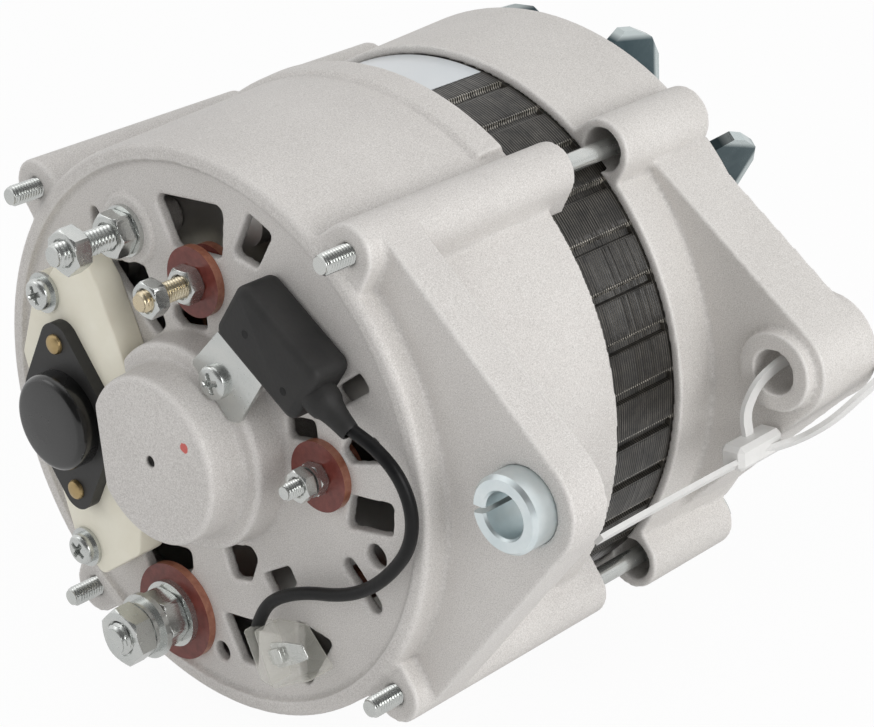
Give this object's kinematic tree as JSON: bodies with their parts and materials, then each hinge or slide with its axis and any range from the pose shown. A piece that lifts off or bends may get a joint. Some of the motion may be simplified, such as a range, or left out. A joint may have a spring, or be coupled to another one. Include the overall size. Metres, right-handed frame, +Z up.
{
  "type": "alternator",
  "caption": "Heavy-vehicle alternator with pierced cast housings, pivot lugs, terminals, capacitor, brush holder with regulator and a bladed fan.",
  "frame": {"origin": "centre of the rear end face of the slit bush in the rear pivot lug", "axes": "+Y along the shaft from the slip-ring end to the fan, +Z up, +X away from the shaft towards the pivot lugs' noses"},
  "size_m": [0.1822, 0.1937, 0.1476],
  "materials": {
    "cast_aluminium": "sand-textured casting",
    "lamination_steel": "varnished laminations",
    "winding": "varnished copper",
    "zinc_steel": "zinc plated",
    "brass_stud": "bright brass",
    "slip_copper": "polished copper",
    "bush_steel": "zinc plated",
    "fan_steel": "blue zinc plated",
    "rotor_steel": "forged and turned",
    "bearing_steel": "ground",
    "cage_steel": "pressed",
    "insulator_red": "red-brown laminate",
    "holder_cream": "moulded",
    "black_plastic": "moulded",
    "lead_black": "sheathed lead",
    "boot_clear": "clear moulding",
    "nylon_white": "nylon",
    "carbon": "pressed carbon",
    "spring_steel": "drawn wire",
    "sink_aluminium": "stamped sheet",
    "diode_metal": "nickel plated"
  },
  "bodies": {
    "housing": {"rear_housing": "cast_aluminium", "front_housing": "cast_aluminium", "stator_core": "lamination_steel", "stator_winding": "winding", "through_bolts": "zinc_steel", "front_bearing_outer_race": "bearing_steel", "rear_bearing_outer_race": "bearing_steel", "bearing_retainer": "zinc_steel", "retainer_screws": "zinc_steel", "plus_stud": "brass_stud", "plus_nuts": "zinc_steel", "terminal_washers": "zinc_steel", "minus_stud": "zinc_steel", "minus_nuts": "zinc_steel", "phase_stud": "brass_stud", "phase_nuts": "zinc_steel", "field_stud": "zinc_steel", "field_nuts": "zinc_steel", "outer_insulators": "insulator_red", "inner_insulators": "insulator_red", "brush_holder": "holder_cream", "regulator_flange": "black_plastic", "regulator_cap": "black_plastic", "regulator_rivets": "brass_stud", "holder_screws": "zinc_steel", "holder_washers": "zinc_steel", "bracket_screw": "zinc_steel", "capacitor_case": "black_plastic", "capacitor_bracket": "zinc_steel", "capacitor_lead": "lead_black", "strain_relief": "black_plastic", "terminal_boot": "boot_clear", "earth_heat_sink": "sink_aluminium", "plus_heat_sink": "sink_aluminium", "diodes": "diode_metal", "sink_screws": "zinc_steel", "lug_bush": "bush_steel", "cable_tie": "nylon_white", "brush_spring_rear": "spring_steel", "brush_spring_front": "spring_steel"},
    "rotor": {"rotor_shaft": "rotor_steel", "claw_pole_front": "rotor_steel", "claw_pole_rear": "rotor_steel", "rotor_core": "rotor_steel", "field_coil": "winding", "slip_rings": "slip_copper", "slip_ring_sleeve": "insulator_red", "front_bearing_inner_race": "bearing_steel", "rear_bearing_inner_race": "bearing_steel", "fan": "fan_steel", "fan_collar": "rotor_steel", "shaft_key": "zinc_steel", "lock_washer": "zinc_steel", "shaft_nut": "zinc_steel"},
    "front_ball_set": {"front_bearing_balls": "bearing_steel", "front_bearing_cage": "cage_steel"},
    "rear_ball_set": {"rear_bearing_balls": "bearing_steel", "rear_bearing_cage": "cage_steel"},
    "brush_rear": {"brush_rear": "carbon"},
    "brush_front": {"brush_front": "carbon"}
  },
  "joints": [
    {"name": "rotor_spin", "type": "hinge", "parent": "housing", "child": "rotor", "pos_m": [-0.0921, 0, -0.0018], "axis": [0, 1, 0], "continuous": true},
    {"name": "front_balls_spin", "type": "hinge", "parent": "housing", "child": "front_ball_set", "pos_m": [-0.0921, 0, -0.0018], "axis": [0, 1, 0], "continuous": true},
    {"name": "rear_balls_spin", "type": "hinge", "parent": "housing", "child": "rear_ball_set", "pos_m": [-0.0921, 0, -0.0018], "axis": [0, 1, 0], "continuous": true},
    {"name": "brush_rear_slide", "type": "slide", "parent": "housing", "child": "brush_rear", "axis": [1, 0, 0], "range_m": [-0.004, 0], "stiffness_N_per_m": 400, "springref_m": 0.004},
    {"name": "brush_front_slide", "type": "slide", "parent": "housing", "child": "brush_front", "axis": [1, 0, 0], "range_m": [-0.004, 0], "stiffness_N_per_m": 400, "springref_m": 0.004}
  ],
  "couplings": [
    {"joint": "front_balls_spin", "follows": "rotor_spin", "ratio": 0.369},
    {"joint": "rear_balls_spin", "follows": "rotor_spin", "ratio": 0.38}
  ]
}
